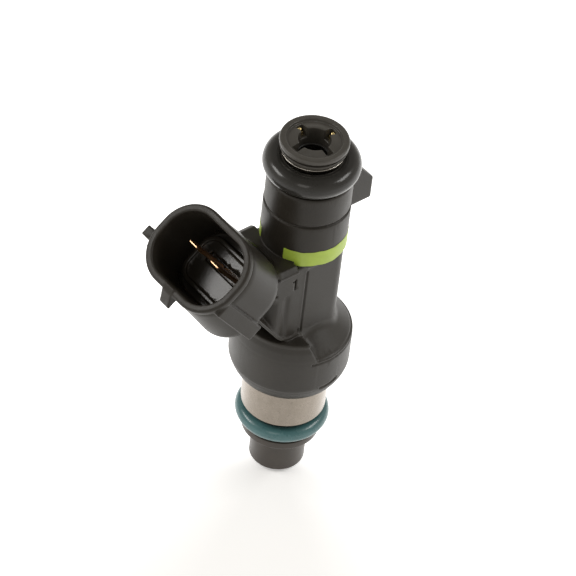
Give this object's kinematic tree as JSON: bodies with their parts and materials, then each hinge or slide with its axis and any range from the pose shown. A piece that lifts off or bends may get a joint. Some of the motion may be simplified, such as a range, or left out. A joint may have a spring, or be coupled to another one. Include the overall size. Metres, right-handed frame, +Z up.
{
  "type": "fuel injector",
  "caption": "Top-feed solenoid fuel injector with a slanted plug socket, sealing rings at both ends and a lifting needle inside.",
  "frame": {"origin": "centre of the spray tip's lower end face, on the injector's axis", "axes": "+Z runs up the injector's axis towards the fuel inlet, and the connector slants up towards -X"},
  "size_m": [0.0364, 0.0195, 0.0645],
  "materials": {
    "body_plastic": "satin moulded glass-filled nylon",
    "band_paint": "flat printed paint",
    "black_rubber": "oiled smooth",
    "teal_rubber": "oiled smooth",
    "brown_rubber": "matt",
    "cap_plastic": "smooth moulded nylon",
    "collar_brass": "bright",
    "screen_nylon": "fine woven mesh",
    "dark_steel": "dull drawn tube",
    "steel": "ground",
    "magnet_steel": "turned and plated",
    "stainless": "drawn and brushed",
    "bobbin_plastic": "moulded",
    "copper": "enamelled wire",
    "terminal_bronze": "stamped and plated",
    "spring_steel": "drawn wire",
    "ball_steel": "polished",
    "tip_plastic": "moulded brown-black nylon"
  },
  "bodies": {
    "injector": {"overmould": "body_plastic", "colour_band": "band_paint", "upper_o_ring": "black_rubber", "filter_cap": "cap_plastic", "filter_collar": "collar_brass", "filter_screen": "screen_nylon", "inlet_tube": "dark_steel", "adjusting_sleeve": "steel", "pole_core": "magnet_steel", "yoke_ring": "magnet_steel", "coil_shell": "stainless", "coil_bobbin": "bobbin_plastic", "coil_winding": "copper", "coil_seal": "brown_rubber", "terminal_left": "terminal_bronze", "terminal_right": "terminal_bronze", "isolating_ring": "steel", "return_spring": "spring_steel", "valve_body": "stainless", "needle_guide": "steel", "stop_washer": "steel", "valve_seat": "steel", "orifice_plate": "steel", "lower_o_ring": "teal_rubber", "lower_spacer": "tip_plastic", "nozzle_cap": "tip_plastic"},
    "needle": {"armature": "magnet_steel", "needle_tube": "steel", "valve_ball": "ball_steel"}
  },
  "joints": [
    {"name": "needle_lift", "type": "slide", "parent": "injector", "child": "needle", "axis": [0, 0, 1], "range_m": [0, 0.00008], "stiffness_N_per_m": 1500, "springref_m": -0.002, "deforming": ["return_spring"]}
  ]
}
